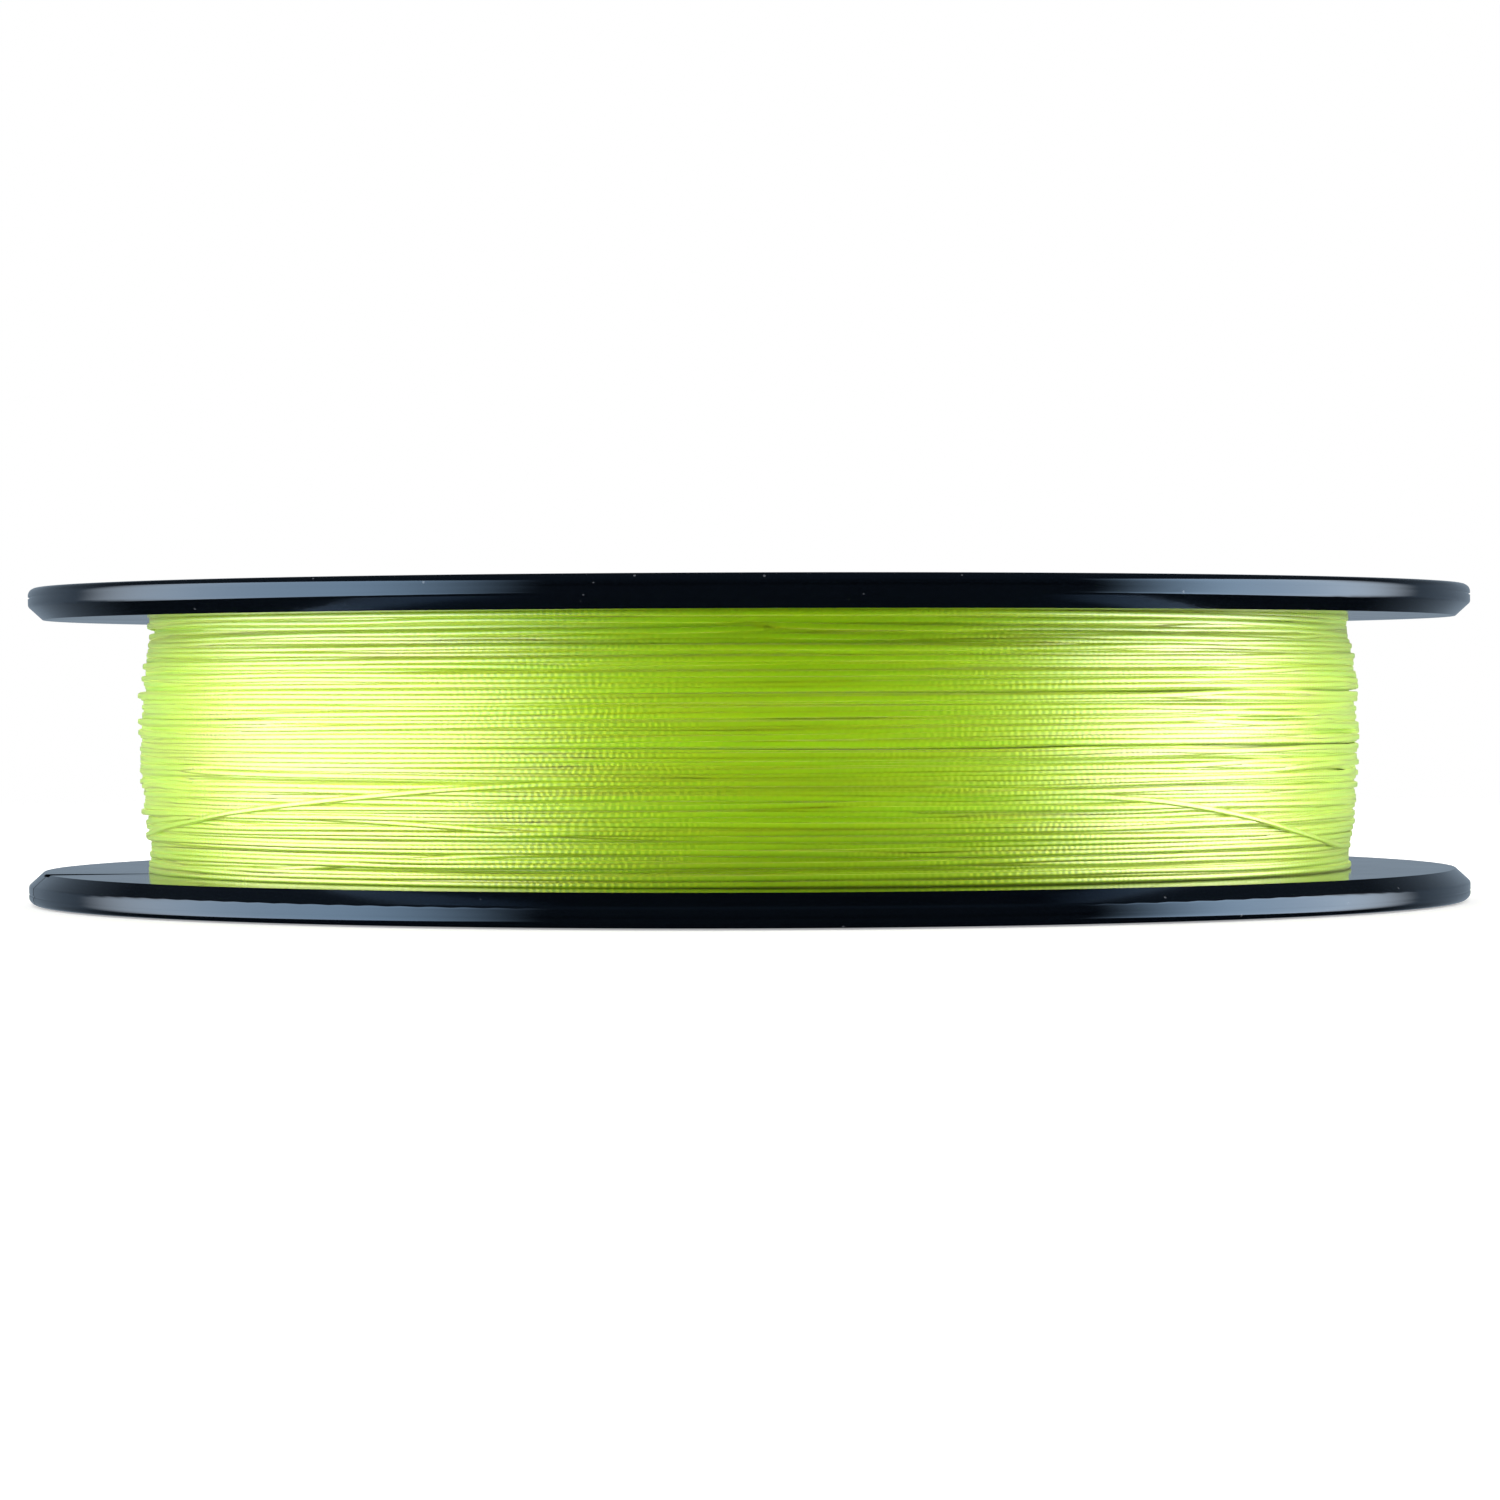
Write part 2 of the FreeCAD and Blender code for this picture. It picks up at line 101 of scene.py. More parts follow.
def putMesh(name, points, quads, caps=(), uv=None):
    # Points in metres, quads as rows of four point numbers, and caps as single outlines.
    mesh = bpy.data.meshes.new(name)
    corners = np.concatenate([quads.ravel(), *[np.asarray(cap) for cap in caps]])
    sides = np.concatenate([np.full(len(quads), 4), np.array([len(cap) for cap in caps], int)])
    mesh.vertices.add(len(points))
    mesh.vertices.foreach_set("co", points.astype(np.float32).ravel())
    mesh.loops.add(len(corners))
    mesh.loops.foreach_set("vertex_index", corners.astype(np.int32))
    mesh.polygons.add(len(sides))
    mesh.polygons.foreach_set("loop_start", (np.cumsum(sides) - sides).astype(np.int32))
    mesh.polygons.foreach_set("use_smooth", np.ones(len(sides), bool))
    mesh.update(calc_edges=True)
    if uv is not None:
        layer = mesh.uv_layers.new(name=lineMap)
        flat = np.zeros((len(corners), 2), np.float32)
        flat[:len(uv)] = uv
        layer.data.foreach_set("uv", flat.ravel())
    mesh.validate()
    thing = bpy.data.objects.new(name, mesh)
    bpy.context.scene.collection.objects.link(thing)
    return thing


def finishPiece(thing, material, slotName, *replaced):
    # A new piece rides on the spool, takes its finish, and hides the CAD nodes whose place it takes.
    thing.data.materials.append(material)
    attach(thing, "root")
    if replaced:
        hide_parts(*replaced)


# The route of the line, turn by turn

route = {
    "samples": 360,  # places worked out on each turn
    "lineDiameter": 0.32,
    "squeeze": 0.8,  # how close two turns press, as a share of the diameter
    "rise": 0.52,  # share of that by which a turn stands above one it crosses: braid flattens there
    "spacing": 0.97,  # how far the guide moves on each turn
    "layers": 12,  # open layers, each crossing the one beneath at a slight angle
    "reach": (2.35, 21.55),  # the guide's lowest and highest place, past where the flanges stop a turn
    "endScatter": 0.12,  # how far short of that a layer may turn back
    "waitTurns": 1,  # turns laid while the guide turns round at a flange
    "lastLayer": (2.50, 18.75),
    "flangeGap": 0.01,  # between a flange and a turn of this diameter
    "bedRadius": 44.88,  # radius of the wound line under the modelled layers
    "bedCrown": 0.85,  # how much more the bed has at mid-width than at the flanges
    "bedShoulder": 0.30,  # how much the bed drops beside a flange
    "shoulderStart": 0.9,  # share of the way from mid-width to a flange
    "shoulderWidth": 0.1,
    "wanders": [(30, 0.03), (80, 0.07), (420, 0.12)],  # reach in degrees, size
    "seed": 11,
}

# Single turns that swing aside and cross their neighbours. Lengths, ramps and the return are in
# turns, and swings in mm.
strays = {
    "count": 9,
    "layers": 4,  # only the outermost layers have them
    "clearTurns": 3,  # and they start before the last turns
    "length": (0.12, 0.7),
    "swing": (0.4, 1.8),
    "ramp": 0.14,  # in which a stray swings aside, or back
    # The long one that the eye follows from the front, low at the sides and back.
    "longHeight": 8.6,  # where the guide is when it leaves, mm
    "longStart": 0.571,  # share of that turn
    "longLength": 0.696,
    "longSwing": -3.5,
    "longReturn": 0.2,
}

# How a turn settles on those beneath it. Sizes are in mm.
settling = {
    "columnWidth": 0.04,  # of the table that holds what a turn rests on
    "margin": 0.5,  # how far the table goes past the turns
    "tries": 12,
    "feel": 0.08,  # how far to each side a turn feels for the slope
    "slip": 0.02,  # how far it slides on each try, times the slope
    "steepest": 2,
    "kept": 0.98,  # share of the slide that is left after each try
    "slideBlur": 10,
    "radiusBlur": 3,
    "joinReach": 20.0,  # samples over which a turn leaves the place where the last one ended
    "pulls": 3,
    "pullReaches": (1, 2, 4, 8, 14),  # samples to each side
    "pullRadius": 45.5,  # of the winding, for how low a stretched line lies
}


def smoothNoise(random, count, reach):
    # Even noise: white noise blurred by a bell curve of this reach, then scaled to size 1.
    spectrum = np.fft.rfft(random.standard_normal(count))
    frequency = np.fft.rfftfreq(count)
    blurred = np.fft.irfft(spectrum * np.exp(-2 * (math.pi * frequency * reach) ** 2), count)
    return blurred / blurred.std()


def smoothStep(value, start, end):
    # Rises from 0 at start to 1 at end, level at both: share^2 * (3 - 2 * share).
    share = np.clip((value - start) / (end - start), 0, 1)
    return share * share * (3 - 2 * share)


def layerRuns(values, random):
    # The guide's run on each layer, up and down in turn, so that the last one goes up.
    low, high = values["reach"]
    scatter = values["endScatter"]
    runs = []
    for number in range(values["layers"] - 1):
        ends = [low + scatter * random.random(), high - scatter * random.random()]
        if (values["layers"] - number) % 2 == 0:
            ends.reverse()
        runs.append(tuple(ends))
    runs.append(values["lastLayer"])
    return runs


def strayTurns(values, starts, lastTurn, random):
    # Each stray's start, length, swing and return.
    found = []
    for _ in range(strays["count"]):
        first = random.uniform(starts[-strays["layers"]], lastTurn - strays["clearTurns"])
        length = random.uniform(*strays["length"])
        swing = random.uniform(*strays["swing"]) * random.choice([-1, 1])
        found.append((first, length, swing, strays["ramp"]))
    onTop = starts[-1] + (strays["longHeight"] - values["lastLayer"][0]) / values["spacing"]
    longFirst = math.floor(onTop) + strays["longStart"]
    found.append((longFirst, strays["longLength"], strays["longSwing"], strays["longReturn"]))
    return found


def guideHeights(values):
    # Height of the guide by angle: straight runs from flange to flange, plus slow wander,
    # plus each stray's swing times its smooth rise less its smooth fall.
    perTurn = values["samples"]
    random = np.random.default_rng(values["seed"])
    pieces = []
    starts = []
    for first, last in layerRuns(values, random):
        starts.append(sum(len(piece) for piece in pieces) / perTurn)
        turns = round(abs(last - first) / values["spacing"])
        run = np.linspace(first, last, turns * perTurn, endpoint=False)
        pieces.append(np.append(run, np.full(values["waitTurns"] * perTurn, last)))
    height = np.concatenate(pieces)
    angle = np.arange(len(height)) / perTurn
    for reach, size in values["wanders"]:
        height = height + size * smoothNoise(random, len(height), reach * perTurn / 360)
    lastTurn = len(height) / perTurn - values["waitTurns"]
    for first, length, swing, returning in strayTurns(values, starts, lastTurn, random):
        rise = smoothStep(angle, first, first + strays["ramp"])
        fall = smoothStep(angle, first + length, first + length + returning)
        height = height + swing * (rise - fall)
    return height, [start * perTurn for start in starts]


def bedRadii(heights, values):
    # Radius of the bed: a shallow crown that falls by the square of the way to a flange, less
    # rounded shoulders beside the flanges.
    middle = spool["height"] / 2
    half = middle - spool["flangeThickness"]
    off = np.abs(heights - middle) / half
    shoulder = np.clip((off - values["shoulderStart"]) / values["shoulderWidth"], 0, 1) ** 2
    return values["bedRadius"] + values["bedCrown"] * (1 - off ** 2) - values["bedShoulder"] * shoulder


def blurRing(values, times):
    # A soft blur along a turn.
    for _ in range(times):
        values = (np.roll(values, 1) + 2 * values + np.roll(values, -1)) / 4
    return values


def layTurns(values, rule):
    # Lays the turns one after another. A turn slides towards the valley between the turns
    # beneath it, rests on what it touches there, and is pulled straight between high spots:
    # a stretched line between two places lies lower than their mean by radius*angle^2/2.
    # What rests on it then stands on a half circle over it, pressed flat by the rise.
    perTurn = values["samples"]
    touching = values["lineDiameter"] * values["squeeze"]
    lowest = spool["flangeThickness"] + values["lineDiameter"] / 2 + values["flangeGap"]
    highest = spool["height"] - lowest
    guide, starts = guideHeights(values)
    turns = len(guide) // perTurn
    guide = np.clip(guide, lowest, highest).reshape(turns, perTurn)
    columns = np.arange(lowest - rule["margin"], highest + rule["margin"], rule["columnWidth"])
    resting = np.tile(bedRadii(columns, values) + values["lineDiameter"] / 2, (perTurn, 1))
    row = np.arange(perTurn)
    step = 2 * math.pi / perTurn
    fade = np.exp(-row / rule["joinReach"])
    heights = np.zeros((turns, perTurn))
    radii = np.zeros((turns, perTurn))

    def restAt(place):
        # The resting radius at a height, between two columns of the table.
        lastShare = len(columns) - 1.001  # just short of the last column
        share = np.clip((place - columns[0]) / rule["columnWidth"], 0, lastShare)
        left = share.astype(int)
        part = share - left
        return resting[row, left] * (1 - part) + resting[row, left + 1] * part

    slide = np.zeros(perTurn)
    for turn in range(turns):
        lastSlide = slide[-1]
        lastRadius = radii[turn - 1, -1] if turn else restAt(guide[0])[0]
        slide = np.full(perTurn, lastSlide)
        for _ in range(rule["tries"]):
            place = guide[turn] + slide
            slope = (restAt(place + rule["feel"]) - restAt(place - rule["feel"])) / (2 * rule["feel"])
            slope = np.clip(slope, -rule["steepest"], rule["steepest"])
            slide = blurRing(slide - rule["slip"] * slope, rule["slideBlur"]) * rule["kept"]
        slide = slide + (lastSlide - slide[0]) * fade
        place = np.clip(guide[turn] + slide, lowest, highest)
        radius = restAt(place)
        for _ in range(rule["pulls"]):
            for reach in rule["pullReaches"]:
                mean = (np.roll(radius, reach) + np.roll(radius, -reach)) / 2
                radius = np.maximum(radius, mean - rule["pullRadius"] * (reach * step) ** 2 / 2)
        radius = blurRing(radius, rule["radiusBlur"])
        radius = radius + (lastRadius - radius[0]) * fade
        heights[turn] = place
        radii[turn] = radius
        off = columns[None, :] - place[:, None]
        over = values["rise"] * np.sqrt(np.clip(touching ** 2 - off ** 2, 0, None))
        resting = np.where(np.abs(off) < touching, np.maximum(resting, radius[:, None] + over), resting)
    return heights, radii, starts, columns, resting


# The line itself, as a tube along each part of the route

line = {
    "sides": 8,
    "skip": 3,  # every third place of the route becomes a ring of the tube
    "width": 0.42,  # braid lies a little flat
    "thickness": 0.24,
    "squareness": 0.62,  # 1 is an ellipse, and less fills its corners
    "startAngle": 90,  # the route's first place, in degrees from +X: the back
}


def squarish(part, values):
    # A share of a circle, raised to a power below 1, which fills the corners of the outline.
    return np.sign(part) * np.abs(part) ** values["squareness"]


def tubeOnDrum(name, angles, heights, radii, values):
    # A closed tube. Point = route place + side * half the width * squarish cosine + up * half
    # the thickness * squarish sine, where up is away from the drum.
    count = len(angles)
    sides = values["sides"]
    outward = aroundAxis(1, angles, 0)
    centres = aroundAxis(radii, angles, heights)
    along = np.gradient(centres, axis=0)
    along /= np.linalg.norm(along, axis=1)[:, None]
    side = np.cross(along, outward)
    side /= np.linalg.norm(side, axis=1)[:, None]
    up = np.cross(side, along)
    around = 2 * math.pi * np.arange(sides) / sides
    wide = (squarish(np.cos(around), values) * values["width"] / 2)[None, :, None]
    tall = (squarish(np.sin(around), values) * values["thickness"] / 2)[None, :, None]
    points = centres[:, None, :] + side[:, None, :] * wide + up[:, None, :] * tall
    numbers = np.pad(np.arange(count * sides).reshape(count, sides), ((0, 0), (0, 1)), "wrap")
    quads = squareCorners(numbers, True).reshape(-1, 4)
    length = np.concatenate([[0], np.cumsum(np.linalg.norm(np.diff(centres, axis=0), axis=1))])
    girth = math.pi * (values["width"] + values["thickness"]) / 2
    places = np.stack(np.meshgrid(length, np.arange(sides + 1) / sides * girth, indexing="ij"), -1)
    caps = [np.arange(sides)[::-1], (count - 1) * sides + np.arange(sides)]
    return putMesh(name, points.reshape(-1, 3) * mm, quads, caps, squareCorners(places, True).reshape(-1, 2))


def woundLine(heights, radii, starts, values):
    # The route in three lengths, one piece each: the inner, middle and outer layers.
    turns, perTurn = heights.shape
    angles = math.radians(values["startAngle"]) + 2 * math.pi * np.arange(turns * perTurn) / perTurn
    third = len(starts) // 3
    ends = [0, round(starts[third]), round(starts[-third]), turns * perTurn]
    pieces = []
    for number, name in enumerate(["wound_line_inner", "wound_line_middle", "wound_line_outer"]):
        chosen = np.arange(ends[number], min(ends[number + 1] + 1, turns * perTurn), values["skip"])
        places = (heights.ravel()[chosen], radii.ravel()[chosen])
        pieces.append(tubeOnDrum(name, angles[chosen], *places, values))
    return pieces


bed = {
    "flangeGap": 0.05,
    "drumGap": 0.2,  # room for the tape on the drum
    "heightSteps": 60,
    "steps": 240,
}


def turnedSurface(name, profile, steps):
    # A closed profile of (radius, height) points turned about the upright axis.
    count = len(profile)
    angles = 2 * math.pi * np.arange(steps) / steps
    points = aroundAxis(profile[None, :, 0], angles[:, None], profile[None, :, 1])
    numbers = np.pad(np.arange(steps * count).reshape(steps, count), ((0, 1), (0, 1)), "wrap")
    quads = squareCorners(numbers).reshape(-1, 4)
    length = np.concatenate([[0], np.cumsum(np.linalg.norm(np.diff(profile, axis=0), axis=1))])
    length = np.append(length, length[-1] + np.linalg.norm(profile[0] - profile[-1]))
    arc = profile[:, 0].max() * 2 * math.pi / steps
    places = np.stack(np.meshgrid(np.arange(steps + 1) * arc, length, indexing="ij"), -1)
    return putMesh(name, points.reshape(-1, 3) * mm, quads, (), squareCorners(places).reshape(-1, 2))


def lineBed(values):
    # What lies under the modelled layers: a ring from the tape on the drum to the bed.
    low = spool["flangeThickness"] + values["flangeGap"]
    high = spool["height"] - spool["flangeThickness"] - values["flangeGap"]
    heights = np.linspace(low, high, values["heightSteps"])
    outside = np.stack([bedRadii(heights, route), heights], 1)
    inner = spool["drumRadius"] + values["drumGap"]
    inside = np.array([[inner, heights[-1]], [inner, heights[0]]])
    return turnedSurface("line_bed", np.concatenate([outside, inside]), values["steps"])


# Its middle is at the line's startAngle, over the line's end.
endTape = {
    "angle": 18,
    "ends": (2.65, 21.25),
    "thickness": 0.05,
    "clearance": 0.02,  # air between the tape and the turns it touches
    "drape": (1, 11),  # half width that the tape bridges, in table rows and columns
    "columnStep": 2,
}


def bridged(values, reach, axis):
    # A stretched film over these values: the highest of each neighbourhood, then the mean of
    # those over the same neighbourhood, which never dips below the values.
    shifts = range(-reach, reach + 1)
    highest = np.max([np.roll(values, shift, axis) for shift in shifts], axis=0)
    return np.mean([np.roll(highest, shift, axis) for shift in shifts], axis=0)


def drapedTape(values, columns, resting):
    # A closed film over the turns. Turn tops = resting radii less the rise over a crossing, plus
    # half the line's thickness. Inner radius = bridged tops + clearance, outer = + thickness.
    perTurn = len(resting)
    half = round(values["angle"] / 2 * perTurn / 360)
    rows = np.arange(-half, half + 1)
    across, along = values["drape"]
    pressed = route["lineDiameter"] * route["squeeze"] * route["rise"]
    tops = resting - pressed + line["thickness"] / 2
    draped = bridged(bridged(tops, along, 1), across, 0)
    inTape = (columns > values["ends"][0]) & (columns < values["ends"][1])
    heights = columns[inTape][::values["columnStep"]]
    inner = draped[rows][:, inTape][:, ::values["columnStep"]] + values["clearance"]
    angles = (math.radians(line["startAngle"]) + 2 * math.pi * rows / perTurn)[:, None]
    skins = [aroundAxis(radii, angles, heights) for radii in (inner + values["thickness"], inner)]
    numbers = np.arange(inner.size).reshape(inner.shape)
    outside = squareCorners(numbers).reshape(-1, 4)
    inside = squareCorners(numbers + numbers.size, True).reshape(-1, 4)
    border = np.concatenate([numbers[:, 0], numbers[-1, 1:], numbers[-2::-1, -1], numbers[0, -2:0:-1]])
    after = np.roll(border, -1)
    rim = np.stack([after, border, border + numbers.size, after + numbers.size], -1)
    points = np.concatenate(skins).reshape(-1, 3)
    return putMesh("end_tape", points * mm, np.concatenate([outside, inside, rim]))


# Materials

braid = {
    "colour": "#b6f400",
    "deepColour": "#a8e600",
    "driftLength": 20.0,  # mm of line over which its tone and its picks drift
    "toneRange": (0.35, 0.65),  # of the drift, from the deep colour to the other
    "paintedGlowColour": "#d8ea00",  # painted light: the flanks between the turns are painted a brighter yellow, standing in for light glowing through the fibres
    "paintedGlowReach": (0.10, 0.24),  # where the painted glow begins and is full, in shares of the girth from the top
    "paintedGlowShare": 0.8,
    "pickLength": 0.56,  # mm from one pick of the braid to the next, coarser than real so that they show
    "pickSpacing": 0.30,  # mm between picks round the line
    "pickDrift": 40.0,  # radians, so that the picks of neighbouring turns don't line up
    "pickReach": (0.12, 0.22),  # where their relief begins to fade and is gone, from the top
    "relief": 0.030,  # mm
    "glow": 1.0,  # share of the light that spreads inside the fibre
    "glowReach": 0.3,  # mm
    "glowSpread": (1.0, 1.0, 0.4),  # of red, green and blue
    "fuzz": 0.55,  # loose filaments, which show where the surface turns away
    "fuzzColour": "#f2fcbe",
    "fuzzRoughness": 0.35,
    "fibreShine": "#f8ff30",  # light that has been through a fibre comes back broad and dyed
    "fibreRoughness": 0.45,
    "fibreIOR": 2.15,
    "resinRoughness": 0.32,  # the resin's own shine is white and narrower
    "resinIOR": 2.6,
}


def braidedFibre(values):
    # Braided polyethylene fibre, dyed chartreuse: waxy, with small slanted picks that each catch the light,
    # and a tone that drifts along the line. Its flanks between the turns are painted a brighter yellow,
    # a painted glow that stands in for light coming through the fibres. The picks' height is the product
    # of two waves that cross at a slant.
    material, tree, shader = startMaterial("braidedFibre", {
        "Roughness": values["fibreRoughness"],
        "IOR": values["fibreIOR"],
        "Specular IOR Level": 1.0,
        "Specular Tint": linearColour(values["fibreShine"]),
        "Coat Weight": 1.0,
        "Coat Roughness": values["resinRoughness"],
        "Coat IOR": values["resinIOR"],
        "Sheen Weight": values["fuzz"],
        "Sheen Roughness": values["fuzzRoughness"],
        "Sheen Tint": linearColour(values["fuzzColour"]),
        "Subsurface Weight": values["glow"],
        "Subsurface Radius": values["glowSpread"],
        "Subsurface Scale": values["glowReach"] * mm,
    })
    place = addNode(tree, "ShaderNodeUVMap", uv_map=lineMap)
    split = addNode(tree, "ShaderNodeSeparateXYZ", {0: place.outputs["UV"]})
    drift = addNode(tree, "ShaderNodeTexNoise", {
        "Vector": place.outputs["UV"],
        "Scale": 1 / values["driftLength"],
        "Detail": 3.0,
    })
    shift = addNode(tree, "ShaderNodeMath", {
        0: drift.outputs["Fac"],
        1: values["pickDrift"],
    }, operation="MULTIPLY")
    along = addNode(tree, "ShaderNodeMath", {
        0: split.outputs["X"],
        1: math.pi / values["pickLength"],
        2: shift.outputs[0],
    }, operation="MULTIPLY_ADD")
    across = addNode(tree, "ShaderNodeMath", {
        0: split.outputs["Y"],
        1: math.pi / values["pickSpacing"],
    }, operation="MULTIPLY")
    waves = []
    for slant in ("ADD", "SUBTRACT"):
        phase = addNode(tree, "ShaderNodeMath", {0: along.outputs[0], 1: across.outputs[0]}, operation=slant)
        waves.append(addNode(tree, "ShaderNodeMath", {0: phase.outputs[0]}, operation="SINE"))
    rising, falling = waves
    picks = addNode(tree, "ShaderNodeMath", {
        0: rising.outputs[0],
        1: falling.outputs[0],
    }, operation="MULTIPLY")
    tone = addNode(tree, "ShaderNodeMapRange", {
        "Value": drift.outputs["Fac"],
        "From Min": values["toneRange"][0],
        "From Max": values["toneRange"][1],
    })
    shade = addNode(tree, "ShaderNodeMix", {
        "Factor": tone.outputs["Result"],
        "A": linearColour(values["deepColour"]),
        "B": linearColour(values["colour"]),
    }, data_type="RGBA")
    # The tube's outward line lies a quarter of the way round it.
    girth = math.pi * (line["width"] + line["thickness"]) / 2
    aside = addNode(tree, "ShaderNodeMath", {0: split.outputs["Y"], 1: girth / 4}, operation="SUBTRACT")
    away = addNode(tree, "ShaderNodeMath", {0: aside.outputs[0]}, operation="ABSOLUTE")
    # Painted light: the flanks, away from the tube's outward line, get the brighter yellow of the painted
    # glow.
    paintedGlowMask = addNode(tree, "ShaderNodeMapRange", {
        "Value": away.outputs[0],
        "From Min": girth * values["paintedGlowReach"][0],
        "From Max": girth * values["paintedGlowReach"][1],
        "To Max": values["paintedGlowShare"],
    })
    # The drifting tone, with the painted glow mixed in on the flanks.
    toneAndPaintedGlow = addNode(tree, "ShaderNodeMix", {
        "Factor": paintedGlowMask.outputs["Result"],
        "A": shade.outputs["Result"],
        "B": linearColour(values["paintedGlowColour"]),
    }, data_type="RGBA")
    top = addNode(tree, "ShaderNodeMapRange", {
        "Value": away.outputs[0],
        "From Min": girth * values["pickReach"][0],
        "From Max": girth * values["pickReach"][1],
        "To Min": 1.0,
        "To Max": 0.0,
    })
    raised = addNode(tree, "ShaderNodeMath", {
        0: picks.outputs[0],
        1: top.outputs["Result"],
    }, operation="MULTIPLY")
    bump = addNode(tree, "ShaderNodeBump", {
        "Height": raised.outputs[0],
        "Strength": 1.0,
        "Distance": values["relief"] * mm,
    })
    tree.links.new(toneAndPaintedGlow.outputs["Result"], shader.inputs["Base Color"])
    tree.links.new(bump.outputs["Normal"], shader.inputs["Normal"])
    return material


plastic = {
    "colour": "#05080d",
    "shine": "#b2d9ff",  # the tint of its highlights
    "shineLevel": 0.88,
    "refraction": 1.55,
    "roughness": 0.06,
    "waveWidth": 6.0,  # mm, slow unevenness of a moulded wall
    "waveHeight": 0.004,
    "handling": 90.0,  # dulled patches to a metre, 11 mm each
    "handlingRange": (0.35, 0.75),
    "handlingDulls": 0.05,  # roughness that handling adds
    "dustColour": "#8a8f96",
    "dustSize": 0.25,  # mm, drawn coarser than real dust so that it shows
    "dustSpacing": 9,  # sizes from one speck to the next
    "dustEdge": (0.03, 0.05),  # from full to none, in shares of the spacing
    "dustShare": 0.35,
}


def mouldedPolystyrene(values):
    # Polystyrene, injection moulded in a polished tool: near-black navy, glossy, with a slow
    # unevenness of the wall and a little dust.
    material, tree, shader = startMaterial("mouldedPolystyrene", {
        "IOR": values["refraction"],
        "Specular IOR Level": values["shineLevel"],
        "Specular Tint": linearColour(values["shine"]),
    })
    place = addNode(tree, "ShaderNodeTexCoord")
    wave = addNode(tree, "ShaderNodeTexNoise", {
        "Vector": place.outputs["Object"],
        "Scale": 1 / (values["waveWidth"] * mm),
        "Detail": 2.0,
    })
    bump = addNode(tree, "ShaderNodeBump", {
        "Height": wave.outputs["Fac"],
        "Strength": 1.0,
        "Distance": values["waveHeight"] * mm,
    })
    handling = addNode(tree, "ShaderNodeTexNoise", {
        "Vector": place.outputs["Object"],
        "Scale": values["handling"],
        "Detail": 5.0,
    })
    rough = addNode(tree, "ShaderNodeMapRange", {
        "Value": handling.outputs["Fac"],
        "From Min": values["handlingRange"][0],
        "From Max": values["handlingRange"][1],
        "To Min": values["roughness"],
        "To Max": values["roughness"] + values["handlingDulls"],
    })
    dust = addNode(tree, "ShaderNodeTexVoronoi", {
        "Vector": place.outputs["Object"],
        "Scale": 1 / (values["dustSpacing"] * values["dustSize"] * mm),
    })
    speck = addNode(tree, "ShaderNodeMapRange", {
        "Value": dust.outputs["Distance"],
        "From Min": values["dustEdge"][0],
        "From Max": values["dustEdge"][1],
        "To Min": values["dustShare"],
        "To Max": 0.0,
    })
    shade = addNode(tree, "ShaderNodeMix", {
        "Factor": speck.outputs["Result"],
        "A": linearColour(values["colour"]),
        "B": linearColour(values["dustColour"]),
    }, data_type="RGBA")
    tree.links.new(shade.outputs["Result"], shader.inputs["Base Color"])
    tree.links.new(rough.outputs["Result"], shader.inputs["Roughness"])
    tree.links.new(bump.outputs["Normal"], shader.inputs["Normal"])
    return material


label = {
    "colour": "#23262b",
    "print": "#c4c8cc",
    "accent": "#a9cf1e",  # the line's colour, as a plain ring
    "rings": [(13.2, 0.5), (34.9, 0.3)],  # radius and width, mm
    "accentRing": (29.6, 1.6),
    "tickRing": (32.3, 1.8),
    "ticks": 72,
    "tickWidth": 0.14,  # share of the way from one tick to the next
    "grain": 0.12,  # mm
    "wear": 0.12,  # most of the print's colour that the grain shows in the ink
    "roughness": (0.28, 0.46),
}


